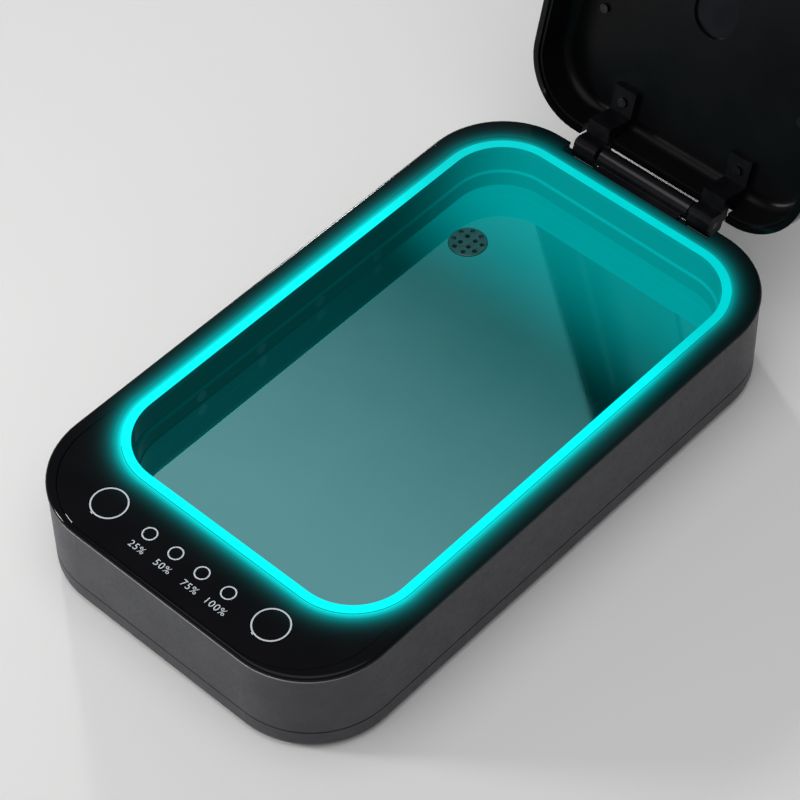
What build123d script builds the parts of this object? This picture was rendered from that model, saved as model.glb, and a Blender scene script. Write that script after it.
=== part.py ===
from build123d import *
import os

# A phone sanitiser box: a three-part case around a lit chamber, with a lid hinged behind it.
# Millimetres. Z = 0 is the flat underside, -Y is the control end and +Y the hinge end.
# The lid is drawn closed and then swung open, the way the box stands while it is loaded.

# Case
base_width = 128.0
base_length = 223.0
base_corner = 29.4
deck_height = 35.0
case_wall = 2.4
cover_overhang = 0.3
cover_edge = 1.8
cover_plate = 2.5
cover_round = 1.2
cover_joint = 0.4
lower_shell_height = 7.2
lower_shell_floor = 2.0
lower_shell_round = 2.6
seam_gap = 0.6
tongue_thickness = 1.3
tongue_length = 2.2

# Chamber
chamber_side_margin = 11.5
chamber_front_margin = 30.4
chamber_rear_margin = 12.2
chamber_corner = 19.6
mirror_top = 18.3
tray_wall = 1.6
tray_floor = 1.6
ledge_rise = 5.7
ledge_width = 0.8
mirror_thickness = 0.8
flange_thickness = 1.6
flange_reach = 0.8
tab_radius = 2.6
tab_offset = 0.5
tab_end_margin = 10.1
tabs_per_side = 3

# Light ring
ring_width = 3.0
ring_proud = 0.15
strip_width = 1.4
strip_thickness = 0.2
ring_led_pitch = 24.0
ring_led_width = 1.0
ring_led_length = 2.0
ring_led_height = 0.6
groove_wall = 0.6
groove_height = 1.1
seat_margin = 2.0
seat_depth = 0.4

# Control end
panel_thickness = 1.2
panel_front_inset = 1.5
panel_side_inset = 4.6
panel_corner = 27.3
panel_margin = 0.8
panel_tip_setback = 41.5
panel_tip_round = 0.5
panel_chamfer = 0.2
control_setback = 14.4
button_side_margin = 30.5
button_radius = 6.3
button_proud = 0.1
button_chamfer = 0.15
button_flange = 1.0
button_flange_thickness = 1.3
button_travel = 0.5
stem_radius = 1.5
plunger_radius = 1.75
plunger_height = 1.4
plunger_sink = 0.8
switch_width = 6.0
switch_height = 2.8
lamp_pitch = 10.87
lamp_count = 4
lamp_hole = 1.9
lamp_led_width = 1.6
lamp_led_length = 1.0
lamp_led_height = 0.7
baffle_length = 6.0
baffle_end = 3.2
control_board_drop = 6.3
control_board_margin = 8.5
control_board_length = 18.0
control_boss_step = 11.0
control_boss_dy = 6.5
control_boss_radius = 2.3
control_boss_skin = 1.0
sensor_width = 4.0
sensor_length = 3.0
sensor_height = 1.2

# Boards and inlet
board_thickness = 1.2
main_board_width = 60.0
main_board_length = 100.0
main_board_y = -10.0
main_board_rise = 2.0
main_boss_inset = 5.0
coil_width = 12.0
coil_height = 4.0
coil_x = -2.0
coil_dy = -28.0
chip_width = 10.0
chip_height = 1.2
chip_x = 13.0
driver_width = 8.0
driver_height = 1.4
driver_x = -16.0
can_count = 3
can_pitch = 9.0
can_radius = 2.5
can_height = 4.2
can_dy = 22.0
plug_width = 12.0
plug_length = 5.0
plug_height = 2.0
side_board_end_margin = 15.1
side_board_height = 8.0
uv_led_count = 5
uv_led_pitch = 27.0
uv_led_shift = 3.5
uv_led_rise = 3.2
uv_hole_radius = 2.2
window_thickness = 0.7
led_size = 2.4
led_height = 1.3
usb_width = 8.9
usb_height = 3.2
usb_length = 7.3
usb_rise = 16.2
usb_wall = 0.35
usb_back = 1.0
usb_mouth_setback = 0.3
usb_tongue_width = 6.6
usb_tongue_thickness = 0.7
usb_tongue_setback = 1.2
usb_tongue_root = 0.5
usb_board_width = 22.0
usb_board_length = 7.2
usb_screw_margin = 2.0
usb_ledge_width = 4.0
usb_ledge_height = 3.0
usb_ledge_skin = 0.5
ribbon_width = 10.0
ribbon_thickness = 0.4
ribbon_rise = 0.8
ribbon_wall_gap = 2.5
ribbon_board_lap = 1.0

# Scent cup
scent_side_margin = 16.6
scent_end_margin = 33.2
scent_radius = 6.5
scent_lip = 0.6
scent_cap_height = 1.2
scent_cap_round = 0.4
scent_cap_skin = 1.0
scent_pad_height = 2.6
scent_cup_depth = 4.8
scent_cup_flange = 1.3
scent_cup_wall = 1.2
scent_cup_floor = 1.0
scent_skirt = 2.2
scent_skirt_wall = 0.8
scent_hole_radius = 0.85
scent_hole_pitch = 2.45
scent_inner_holes = 4
scent_outer_holes = 8

# Hinge
hinge_offset = 2.0
hinge_drop = 1.2
barrel_radius = 3.4
barrel_half = 18.6
knuckle_half = 4.0
knuckle_round = 2.5
knuckle_inner = 19.6
knuckle_width = 8.8
pin_radius = 1.25
pin_depth = 8.6
pin_end_gap = 0.5
barrel_foot_setback = 1.6
well_half = 31.0
well_front = 5.4
well_depth = 3.0
well_block = 3.6
well_wall = 1.6
open_angle = 105.0

# Lid
lid_side_gap = 1.7
lid_setback = 2.2
lid_corner = 22.9
lid_height = 18.0
lid_wall = 2.0
lid_top = 1.8
lid_round = 6.0
lid_gap = 0.3
lid_depth = 13.4
liner_wall = 1.0
liner_inset = 0.8
notch_height = 7.4
barrel_notch_height = 2.2
arm_lift = 0.7
arm_thickness = 3.8
arm_reach = 13.4
arm_foot_thickness = 2.0
lid_window_width = 22.0
lid_window_length = 104.0
lid_window_thickness = 0.5
lid_window_overlap = 3.0
lid_board_width = 14.0
lid_board_thickness = 0.6
lid_board_shorter = 8.0
lid_board_corner = 1.0
lid_window_corner = 2.0
lid_led_count = 6
lid_led_pitch = 15.0
lid_led_height = 0.6
lid_screw_side_margin = 15.5
lid_screw_window_gap = 7.0
lid_boss_wall = 0.8
lid_notch_margin = 0.5
magnet_radius = 1.5
magnet_height = 3.0
magnet_holder = 4.0
bumper_length = 5.0
bumper_width = 1.2
bumper_height = 0.9
bumper_proud = 0.2
bumper_x = 28.0
bumper_setback = 50.8

# Fasteners and feet
post_radius = 2.9
post_ring = 22.0
post_skin = 0.6
rib_thickness = 2.0
shell_boss_top = 5.0
foot_radius = 4.2
foot_height = 1.0
foot_recess = 0.6
case_shank = 1.25
case_head = 2.3
case_tip_gap = 0.2
small_shank = 0.9
small_head = 1.6
small_head_height = 1.0
small_grip = 1.7

# Fits
slip = 0.15
running = 0.05
button_gap = 0.12
seat_gap = 0.3
swing_gap = 0.35
end_play = 0.5

# Levels and places worked out from the sizes above
cover_bottom = deck_height - cover_edge
plate_bottom = deck_height - cover_plate
seat_level = deck_height - seat_depth
frame_top = cover_bottom - cover_joint
frame_bottom = lower_shell_height + seam_gap
post_top = frame_top - tongue_length - slip
body_width = base_width - 2 * cover_overhang
body_length = base_length - 2 * cover_overhang
body_corner = base_corner - cover_overhang
inner_width = body_width - 2 * case_wall
inner_length = body_length - 2 * case_wall
inner_corner = body_corner - case_wall
tongue_inset = slip + tongue_thickness
chamber_width = base_width - 2 * chamber_side_margin
chamber_length = base_length - chamber_front_margin - chamber_rear_margin
chamber_y = (chamber_front_margin - chamber_rear_margin) / 2
tray_floor_top = mirror_top - mirror_thickness
tray_bottom = tray_floor_top - tray_floor
ledge_level = mirror_top + ledge_rise
flange_bottom = plate_bottom - flange_thickness
flange_edge = ring_width + slip + flange_reach
seat_reach = ring_width + seat_margin
tab_x = chamber_width / 2 + flange_edge + tab_offset
tab_pitch = chamber_length / 2 - chamber_corner - tab_end_margin
panel_level = deck_height - panel_thickness
panel_tip_y = panel_tip_setback - base_length / 2
control_y = control_setback - base_length / 2
button_x = base_width / 2 - button_side_margin
control_board_top = plate_bottom - control_board_drop
control_board_bottom = control_board_top - board_thickness
control_board_width = 2 * (button_x + control_board_margin)
control_boss_x = button_x - control_boss_step
switch_top = control_board_top + switch_height
plunger_top = switch_top + plunger_height - plunger_sink
main_board_bottom = lower_shell_floor + main_board_rise
main_board_top = main_board_bottom + board_thickness
side_board_length = chamber_length - 2 * side_board_end_margin
uv_led_y = chamber_y + uv_led_shift
uv_led_z = mirror_top + uv_led_rise
tray_side = chamber_width / 2 + tray_wall
scent_x = scent_side_margin - chamber_width / 2
scent_y = chamber_y + chamber_length / 2 - scent_end_margin
usb_board_top = usb_rise
usb_board_bottom = usb_rise - board_thickness
usb_middle = usb_board_top + usb_height / 2
usb_mouth = body_length / 2 - usb_mouth_setback
usb_screw_x = usb_board_width / 2 - usb_screw_margin
usb_screw_y = inner_length / 2 - usb_board_length / 2
hinge_y = base_length / 2 + hinge_offset
hinge_z = deck_height - hinge_drop
knuckle_reach = (knuckle_half - knuckle_round) * 2**0.5 + knuckle_round
well_floor = deck_height - well_depth
well_y = base_length / 2 - well_front
knuckle_outer = knuckle_inner + knuckle_width
lid_rim = deck_height + lid_gap
lid_rear = hinge_y - lid_setback
lid_front = chamber_y - chamber_length / 2 - seat_reach + lid_side_gap
lid_width = chamber_width + 2 * (seat_reach - lid_side_gap)
lid_length = lid_rear - lid_front
lid_y = (lid_rear + lid_front) / 2
liner_ceiling = lid_rim + lid_depth
liner_top = liner_ceiling + liner_wall
lid_inner_top = lid_rim + lid_height - lid_top
liner_gap = lid_wall + slip
lid_screw_x = lid_width / 2 - lid_screw_side_margin
lid_screw_dy = lid_window_length / 2 + lid_screw_window_gap
post_x = base_width / 2 - base_corner + post_ring / 2**0.5
post_y = base_length / 2 - base_corner + post_ring / 2**0.5


def slab(width, length, corner, low, high, y=0.0):
    """A rounded rectangle standing from one level up to another."""
    outline = Plane.XY.offset(low) * Pos(0, y) * RectangleRounded(width, length, corner)
    return extrude(outline, high - low)


def chamber_slab(reach, low, high):
    """The chamber's outline grown by a reach, standing between two levels."""
    width = chamber_width + 2 * reach
    length = chamber_length + 2 * reach
    return slab(width, length, chamber_corner + reach, low, high, chamber_y)


def inner_slab(inset, low, high):
    """The case's inner outline shrunk by an inset, standing between two levels."""
    return slab(inner_width - 2 * inset, inner_length - 2 * inset, inner_corner - inset, low, high)


def lid_slab(inset, low, high):
    """The lid's outline shrunk by an inset, standing between two levels."""
    return slab(lid_width - 2 * inset, lid_length - 2 * inset, lid_corner - inset, low, high, lid_y)


def block(x0, x1, y0, y1, z0, z1):
    """A box given by its limits."""
    return Pos((x0 + x1) / 2, (y0 + y1) / 2, (z0 + z1) / 2) * Box(x1 - x0, y1 - y0, z1 - z0)


def rod(radius, low, high, x=0.0, y=0.0):
    """An upright cylinder."""
    return Pos(x, y, (low + high) / 2) * Cylinder(radius, high - low)


def cross_rod(radius, x0, x1, y, z):
    """A cylinder along X."""
    return Pos((x0 + x1) / 2, y, z) * Rot(0, 90, 0) * Cylinder(radius, x1 - x0)


def screw(shank, head, head_height, seat, tip, x, y):
    """A pan-head screw that points up, with its head below the seat."""
    return rod(head, seat - head_height, seat, x, y) + rod(shank, seat, tip, x, y)


def gathered(solids):
    """Separate solids of one sub-part."""
    return Compound(children=list(solids))


def corners(x, y, middle=0.0):
    """Four points mirrored about X = 0 and about a middle in Y."""
    return [(sx * x, middle + sy * y) for sx in (-1, 1) for sy in (-1, 1)]


def spread(count, pitch, middle=0.0):
    """Evenly spaced values either side of a middle."""
    return [middle + pitch * (i - (count - 1) / 2) for i in range(count)]


def opened(shape):
    """Swings a lid piece from closed to its rest, fully open."""
    return shape.rotate(Axis((0, hinge_y, hinge_z), (1, 0, 0)), -open_angle)


post_points = corners(post_x, post_y)
tab_points = [(side * tab_x, y) for side in (-1, 1) for y in spread(tabs_per_side, tab_pitch, chamber_y)]
lamp_points = [(x, control_y) for x in spread(lamp_count, lamp_pitch)]
control_bosses = corners(control_boss_x, control_boss_dy, control_y)
main_boss_x = main_board_width / 2 - main_boss_inset
main_boss_dy = main_board_length / 2 - main_boss_inset
main_bosses = corners(main_boss_x, main_boss_dy, main_board_y)
usb_screw_points = [(side * usb_screw_x, usb_screw_y) for side in (-1, 1)]
uv_led_ys = spread(uv_led_count, uv_led_pitch, uv_led_y)
barrel_screw_x = barrel_half / 2
barrel_screw_y = well_y + well_wall
barrel_screw_points = [(side * barrel_screw_x, barrel_screw_y) for side in (-1, 1)]
lid_screw_points = corners(lid_screw_x, lid_screw_dy, lid_y)
arm_middle = knuckle_inner + knuckle_width / 2
arm_back = lid_rear - liner_gap - liner_wall - slip
arm_screw_y = arm_back - arm_reach / 2 - arm_thickness / 2
arm_screw_points = [(side * arm_middle, arm_screw_y) for side in (-1, 1)]


def bottom_shell():
    shell = slab(body_width, body_length, body_corner, 0, lower_shell_height)
    shell = fillet(shell.edges().group_by(Axis.Z)[0], lower_shell_round)
    shell += inner_slab(slip, lower_shell_height, frame_bottom + tongue_length)
    shell -= inner_slab(tongue_inset, lower_shell_floor, frame_bottom + tongue_length)
    for x, y in post_points:
        shell += rod(post_radius, lower_shell_floor, shell_boss_top, x, y)
        shell -= rod(foot_radius + slip, 0, foot_recess, x, y)
        shell -= rod(case_head + slip, 0, lower_shell_floor + slip, x, y)
        shell -= rod(case_shank + slip, 0, shell_boss_top, x, y)
    for x, y in main_bosses:
        shell += rod(small_head, lower_shell_floor, main_board_bottom, x, y)
        shell -= rod(small_shank + running, lower_shell_floor / 2, main_board_bottom, x, y)
    return shell


def side_frame():
    frame = slab(body_width, body_length, body_corner, frame_bottom, frame_top)
    frame -= inner_slab(0, frame_bottom, frame_top)
    rib_bottom = frame_bottom + tongue_length + slip
    for x, y in post_points:
        turn = 45 if x * y > 0 else -45
        reach = inner_corner - post_ring + case_wall / 2 + cover_overhang
        rib = Pos(x, y) * Rot(0, 0, turn) * Pos((reach / 2) * (1 if x > 0 else -1), 0)
        rib = rib * Box(reach, rib_thickness, post_top - rib_bottom)
        frame += Pos(0, 0, (post_top + rib_bottom) / 2) * rib
        frame += rod(post_radius, shell_boss_top, post_top, x, y)
        frame -= rod(case_shank + slip, shell_boss_top, post_top, x, y)
    ledge_front = inner_length / 2 - usb_board_length
    ledge_back = inner_length / 2 + case_wall / 2
    ledge_low = usb_board_bottom - usb_ledge_height
    for x, y in usb_screw_points:
        left = x - usb_ledge_width / 2
        frame += block(left, left + usb_ledge_width, ledge_front, ledge_back, ledge_low, usb_board_bottom)
        frame -= rod(small_shank + running, ledge_low + usb_ledge_skin, usb_board_bottom, x, y)
    slot = Plane.XZ * Pos(0, usb_middle)
    slot = slot * RectangleRounded(usb_width + 2 * slip, usb_height + 2 * slip, usb_height / 2)
    frame -= Pos(0, base_length / 2, 0) * extrude(slot, 2 * case_wall)
    frame -= block(-well_half, well_half, well_y, base_length, well_floor - well_block - slip, deck_height)
    return frame


def panel_outline(grow, low, high):
    """The crescent beside the lid's front end, grown all round by a fit."""
    width = base_width - 2 * (panel_side_inset - grow)
    length = base_length - 2 * (panel_front_inset - grow)
    plate = slab(width, length, panel_corner + grow, low, high)
    plate -= chamber_slab(seat_reach + panel_margin - grow, low, high)
    plate &= block(-base_width, base_width, -base_length, panel_tip_y + grow, low, high)
    return plate


def top_cover():
    cover = slab(base_width, base_length, base_corner, cover_bottom, deck_height)
    cover = fillet(cover.edges().group_by(Axis.Z)[-1], cover_round)
    cover = chamfer(cover.edges().group_by(Axis.Z)[0], cover_overhang)
    cover += inner_slab(slip, frame_top - tongue_length, cover_bottom)
    cover -= inner_slab(tongue_inset, frame_top - tongue_length, plate_bottom)
    half = well_half - slip
    back = body_length / 2
    front = well_y - well_wall
    cover += block(-half, half, front, back, well_floor - well_block, well_floor)
    cover += block(-half, half, front, well_y, well_floor, plate_bottom)
    cover -= block(-half, half, well_y, base_length, well_floor, deck_height)
    barrel_end = barrel_half + end_play
    cover -= cross_rod(barrel_radius + swing_gap, -barrel_end, barrel_end, hinge_y, hinge_z)
    for side in (-1, 1):
        ends = sorted((side * (knuckle_inner - end_play), side * (knuckle_outer + end_play)))
        cover -= cross_rod(knuckle_reach + swing_gap, ends[0], ends[1], hinge_y, hinge_z)
        cover -= rod(button_radius + button_gap, 0, deck_height, side * button_x, control_y)
    for x, y in barrel_screw_points:
        cover -= rod(small_shank + slip, 0, deck_height, x, y)
        cover -= rod(small_head + slip, 0, well_floor - well_block + small_head_height + slip, x, y)
    cover -= chamber_slab(ring_width + slip, 0, deck_height)
    cover -= chamber_slab(seat_reach, seat_level, deck_height)
    cover -= panel_outline(slip, panel_level, deck_height)
    for x, y in lamp_points:
        cover -= rod(lamp_hole, 0, deck_height, x, y)
    for x, y in control_bosses:
        cover += rod(control_boss_radius, control_board_top, plate_bottom, x, y)
        cover -= rod(small_shank + running, control_board_top, plate_bottom - control_boss_skin, x, y)
    for x, y in post_points:
        cover += rod(post_radius, post_top, plate_bottom, x, y)
        cover -= rod(case_shank + running, post_top, panel_level - post_skin, x, y)
    for x, y in tab_points:
        cover -= rod(tab_radius + seat_gap, frame_top - tongue_length, plate_bottom, x, y)
        cover -= rod(small_shank + running, plate_bottom, plate_bottom + small_grip + slip, x, y)
    return cover


def chamber_tray():
    tray = chamber_slab(tray_wall, tray_bottom, plate_bottom)
    tray += chamber_slab(flange_edge, flange_bottom, plate_bottom)
    for x, y in tab_points:
        tray += rod(tab_radius, flange_bottom, plate_bottom, x, y)
    tray -= chamber_slab(0, ledge_level, plate_bottom)
    tray -= chamber_slab(-ledge_width, tray_floor_top, ledge_level)
    for x, y in tab_points:
        tray -= rod(small_shank + slip, flange_bottom, plate_bottom, x, y)
    for x, y in post_points:
        tray -= rod(post_radius + seat_gap, flange_bottom, plate_bottom, x, y)
    for y in uv_led_ys:
        tray -= cross_rod(uv_hole_radius, -base_width / 2, base_width / 2, y, uv_led_z)
    tray -= rod(scent_radius - scent_lip, tray_bottom, tray_floor_top, scent_x, scent_y)
    return tray


def mirror_floor():
    mirror = chamber_slab(-ledge_width - seat_gap, tray_floor_top, mirror_top)
    return mirror - rod(scent_radius + slip, tray_floor_top, mirror_top, scent_x, scent_y)


def light_guide_ring():
    top = seat_level + ring_proud
    ring = chamber_slab(ring_width, plate_bottom, top) - chamber_slab(0, plate_bottom, top)
    roof = plate_bottom + groove_height
    groove = chamber_slab(ring_width - groove_wall, plate_bottom, roof)
    return ring - (groove - chamber_slab(groove_wall, plate_bottom, roof))


def ring_led_points():
    """Lamp places on the straight runs of the strip, each with the run it lies on."""
    reach = ring_width / 2
    side = chamber_width / 2 + reach
    end = chamber_length / 2 + reach
    side_count = int((chamber_length - 2 * chamber_corner) / ring_led_pitch) + 1
    end_count = int((chamber_width - 2 * chamber_corner) / ring_led_pitch) + 1
    points = [(sx * side, y, True) for sx in (-1, 1) for y in spread(side_count, ring_led_pitch, chamber_y)]
    points += [(x, chamber_y + sy * end, False) for sy in (-1, 1) for x in spread(end_count, ring_led_pitch)]
    return points


def ring_led_strip():
    margin = (ring_width - strip_width) / 2
    top = plate_bottom + strip_thickness
    return chamber_slab(ring_width - margin, plate_bottom, top) - chamber_slab(margin, plate_bottom, top)


def ring_leds():
    low = plate_bottom + strip_thickness
    lamps = []
    for x, y, along_y in ring_led_points():
        wide = ring_led_width if along_y else ring_led_length
        long = ring_led_length if along_y else ring_led_width
        lamp = block(x - wide / 2, x + wide / 2, y - long / 2, y + long / 2, low, low + ring_led_height)
        lamps.append(lamp)
    return gathered(lamps)


def control_panel():
    panel = panel_outline(0, panel_level, deck_height)
    tips = panel.edges().filter_by(Axis.Z).filter_by(lambda e: abs(e.center().Y - panel_tip_y) < 0.01)
    panel = fillet(tips, panel_tip_round)
    panel = chamfer(panel.edges().group_by(Axis.Z)[-1], panel_chamfer)
    for side in (-1, 1):
        panel -= rod(button_radius + button_gap, panel_level, deck_height, side * button_x, control_y)
    return panel


def button_cap(side):
    x = side * button_x
    under = plate_bottom - seat_gap
    cap = rod(button_radius, under, deck_height + button_proud, x, control_y)
    cap = chamfer(cap.edges().group_by(Axis.Z)[-1], button_chamfer)
    cap += rod(button_radius + button_flange, under - button_flange_thickness, under, x, control_y)
    return cap + rod(stem_radius, plunger_top, under - button_flange_thickness, x, control_y)


def switch_plunger(side):
    return rod(plunger_radius, plunger_top - plunger_height, plunger_top, side * button_x, control_y)


def button_switch(side):
    x = side * button_x
    half = switch_width / 2
    body = block(x - half, x + half, control_y - half, control_y + half, control_board_top, switch_top)
    floor = plunger_top - plunger_height - button_travel - seat_gap
    return body - rod(plunger_radius + 2 * running, floor, switch_top, x, control_y)


def control_board():
    half = control_board_width / 2
    dy = control_board_length / 2
    board = block(-half, half, control_y - dy, control_y + dy, control_board_bottom, control_board_top)
    for x, y in control_bosses:
        board -= rod(small_shank + slip, control_board_bottom, control_board_top, x, y)
    return board


def indicator_baffle():
    half = (lamp_count - 1) / 2 * lamp_pitch + baffle_end
    front = control_y - baffle_length / 2
    baffle = block(-half, half, front, front + baffle_length, control_board_top, plate_bottom)
    for x, y in lamp_points:
        baffle -= rod(lamp_hole, control_board_top, plate_bottom, x, y)
    return baffle


def indicator_leds():
    wide = lamp_led_width / 2
    long = lamp_led_length / 2
    top = control_board_top + lamp_led_height
    return gathered(
        block(x - wide, x + wide, y - long, y + long, control_board_top, top) for x, y in lamp_points
    )


def lid_sensor():
    half = sensor_width / 2
    front = control_y + control_boss_dy - sensor_length / 2
    top = control_board_top + sensor_height
    return block(-half, half, front, front + sensor_length, control_board_top, top)


def main_board():
    half = main_board_width / 2
    dy = main_board_length / 2
    board = block(-half, half, main_board_y - dy, main_board_y + dy, main_board_bottom, main_board_top)
    for x, y in main_bosses:
        board -= rod(small_shank + slip, main_board_bottom, main_board_top, x, y)
    return board


def mounted(width, length, height, x, dy):
    """A rectangular component standing on the main board."""
    front = main_board_y + dy - length / 2
    top = main_board_top + height
    return block(x - width / 2, x + width / 2, front, front + length, main_board_top, top)


def main_board_parts():
    coil = mounted(coil_width, coil_width, coil_height, coil_x, coil_dy)
    chip = mounted(chip_width, chip_width, chip_height, chip_x, 0)
    driver = mounted(driver_width, driver_width, driver_height, driver_x, 0)
    plug_dy = (main_board_length - plug_length) / 2
    plugs = [mounted(plug_width, plug_length, plug_height, 0, dy) for dy in (-plug_dy, plug_dy)]
    can_top = main_board_top + can_height
    can_y = main_board_y + can_dy
    cans = [rod(can_radius, main_board_top, can_top, x, can_y) for x in spread(can_count, can_pitch)]
    return gathered([coil, chip, driver] + plugs + cans)


def ribbon(y0, y1, top):
    """A flat cable that leaves the main board's plug and turns up to another board."""
    half = ribbon_width / 2
    low = main_board_top + ribbon_rise
    upright = y1 if y1 > y0 else y1 + ribbon_thickness
    lead = block(-half, half, min(y0, y1), max(y0, y1), low, low + ribbon_thickness)
    return lead + block(-half, half, upright - ribbon_thickness, upright, low, top)


def front_ribbon():
    start = main_board_y - main_board_length / 2
    clear_of_tray = chamber_y - chamber_length / 2 - tray_wall - ribbon_thickness - ribbon_wall_gap
    under_board = control_y + control_board_length / 2 - ribbon_board_lap
    return ribbon(start, min(clear_of_tray, under_board), control_board_bottom)


def rear_ribbon():
    start = main_board_y + main_board_length / 2
    return ribbon(start, usb_screw_y - usb_board_length / 4, usb_board_bottom)


def usb_board():
    half = usb_board_width / 2
    y0 = usb_screw_y - usb_board_length / 2
    board = block(-half, half, y0, inner_length / 2 - slip, usb_board_bottom, usb_board_top)
    for x, y in usb_screw_points:
        board -= rod(small_shank + slip, usb_board_bottom, usb_board_top, x, y)
    return board


def usb_socket():
    section = Plane.XZ * Pos(0, usb_middle)
    end_round = usb_height / 2 - 0.01
    bore_width = usb_width - 2 * usb_wall
    bore_height = usb_height - 2 * usb_wall
    shell = section * RectangleRounded(usb_width, usb_height, end_round)
    hollow = section * RectangleRounded(bore_width, bore_height, end_round - usb_wall)
    socket = Pos(0, usb_mouth, 0) * extrude(shell, usb_length)
    socket -= Pos(0, usb_mouth, 0) * extrude(hollow, usb_length - usb_back)
    half = usb_tongue_width / 2
    low = usb_middle - usb_tongue_thickness / 2
    root = usb_mouth - usb_length + usb_tongue_root
    tip = usb_mouth - usb_tongue_setback
    return socket + block(-half, half, root, tip, low, low + usb_tongue_thickness)


def side_led_board(side):
    x0 = side * (tray_side + slip)
    x1 = side * (tray_side + slip + board_thickness)
    dy = side_board_length / 2
    low = uv_led_z - side_board_height / 2
    return block(min(x0, x1), max(x0, x1), chamber_y - dy, chamber_y + dy, low, low + side_board_height)


def uv_leds(side):
    back = tray_side + slip
    ends = sorted((side * back, side * (back - led_height)))
    half = led_size / 2
    lamps = [block(*ends, y - half, y + half, uv_led_z - half, uv_led_z + half) for y in uv_led_ys]
    return gathered(lamps)


def uv_windows(side):
    face = chamber_width / 2 - ledge_width
    ends = sorted((side * face, side * (face + window_thickness)))
    return gathered(cross_rod(uv_hole_radius - slip, *ends, y, uv_led_z) for y in uv_led_ys)


def scent_cup():
    outer = scent_radius + scent_cup_flange
    low = tray_bottom - scent_cup_depth
    cup = rod(outer, low, tray_bottom, scent_x, scent_y)
    return cup - rod(outer - scent_cup_wall, low + scent_cup_floor, tray_bottom, scent_x, scent_y)


def scent_pad():
    low = tray_bottom - scent_cup_depth + scent_cup_floor
    return rod(scent_radius - seat_gap, low, low + scent_pad_height, scent_x, scent_y)


def scent_cap():
    seat = tray_floor_top
    top = seat + scent_cap_height
    cap = rod(scent_radius, seat, top, scent_x, scent_y)
    cap = fillet(cap.edges().group_by(Axis.Z)[-1], scent_cap_round)
    skirt = scent_radius - scent_lip - slip
    cap += rod(skirt, seat - scent_skirt, seat, scent_x, scent_y)
    cap -= rod(skirt - scent_skirt_wall, seat - scent_skirt, top - scent_cap_skin, scent_x, scent_y)
    rings = ((scent_inner_holes, scent_hole_pitch), (scent_outer_holes, 2 * scent_hole_pitch))
    for count, radius in rings:
        for i in range(count):
            spot = Rot(0, 0, 360 * (i + 0.5) / count) * Pos(radius, 0)
            cap -= Pos(scent_x, scent_y, top) * spot * Cylinder(scent_hole_radius, 2 * scent_cap_skin)
    return cap


def hinge_barrel():
    barrel = cross_rod(barrel_radius, -barrel_half, barrel_half, hinge_y, hinge_z)
    foot_half = barrel_half - barrel_foot_setback
    barrel += block(-foot_half, foot_half, well_y + seat_gap, hinge_y, well_floor, hinge_z)
    for side in (-1, 1):
        ends = sorted((side * (barrel_half - pin_depth - pin_end_gap), side * barrel_half))
        barrel -= cross_rod(pin_radius + running, *ends, hinge_y, hinge_z)
    for x, y in barrel_screw_points:
        barrel -= rod(small_shank + running, well_floor, well_floor + small_grip - seat_gap, x, y)
    return barrel


def hinge_pin(side):
    ends = sorted((side * (barrel_half - pin_depth), side * knuckle_outer))
    return cross_rod(pin_radius, *ends, hinge_y, hinge_z)


def barrel_screws():
    seat = well_floor - well_block + small_head_height + slip
    return gathered(upright_screws(barrel_screw_points, seat, well_floor + small_grip - seat_gap - slip))


def rubber_feet():
    return gathered(rod(foot_radius, -foot_height, foot_recess, x, y) for x, y in post_points)


def case_screws():
    seat = lower_shell_floor + slip
    head = seat - foot_recess - slip
    tip = panel_level - post_skin - case_tip_gap
    return gathered(screw(case_shank, case_head, head, seat, tip, x, y) for x, y in post_points)


def upright_screws(points, seat, tip):
    return [screw(small_shank, small_head, small_head_height, seat, tip, x, y) for x, y in points]


def downward_screws(points, seat, tip):
    """Screws that point down, with their heads above the seat."""
    solids = []
    for x, y in points:
        head = rod(small_head, seat, seat + small_head_height, x, y)
        solids.append(head + rod(small_shank, tip, seat, x, y))
    return solids


def board_screws():
    solids = upright_screws(control_bosses, control_board_bottom, control_board_top + small_grip)
    solids += downward_screws(main_bosses, main_board_top, main_board_bottom - small_grip)
    solids += downward_screws(usb_screw_points, usb_board_top, usb_board_bottom - small_grip)
    return gathered(solids)


def tray_screws():
    return gathered(upright_screws(tab_points, flange_bottom, plate_bottom + small_grip))


def lid_notch():
    """The hinge's cut-out in the lid's rear wall, low over the barrel and high over each arm."""
    half = well_half - lid_notch_margin
    front = lid_rear - lid_corner / 2
    notch = block(-half, half, front, hinge_y, 0, lid_rim + barrel_notch_height)
    for side in (-1, 1):
        ends = sorted((side * (knuckle_inner - lid_notch_margin), side * half))
        notch += block(*ends, front, hinge_y, 0, lid_rim + notch_height)
    return notch


def bumper_spots(grow):
    """The pads on the rim, two on the front run and one on each side."""
    a = bumper_length / 2 + grow
    b = bumper_width / 2 + grow
    low = lid_rim - bumper_proud
    high = low + bumper_height + grow
    y = lid_front + lid_wall / 2
    x = lid_width / 2 - lid_wall / 2
    pads = [block(sx * bumper_x - a, sx * bumper_x + a, y - b, y + b, low, high) for sx in (-1, 1)]
    rear = lid_rear - bumper_setback
    pads += [block(sx * x - b, sx * x + b, rear - a, rear + a, low, high) for sx in (-1, 1)]
    return pads


def lid_shell():
    shell = lid_slab(0, lid_rim, lid_rim + lid_height)
    shell = fillet(shell.edges().group_by(Axis.Z)[-1], lid_round)
    hollow = lid_slab(lid_wall, lid_rim, lid_inner_top)
    shell -= fillet(hollow.edges().group_by(Axis.Z)[-1], lid_round - lid_top)
    shell -= lid_notch()
    for x, y in lid_screw_points + arm_screw_points:
        shell += rod(small_head + lid_boss_wall, liner_top, lid_inner_top, x, y)
        shell -= rod(small_shank + running, liner_top, lid_inner_top, x, y)
    for pad in bumper_spots(running):
        shell -= pad
    return shell


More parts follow.
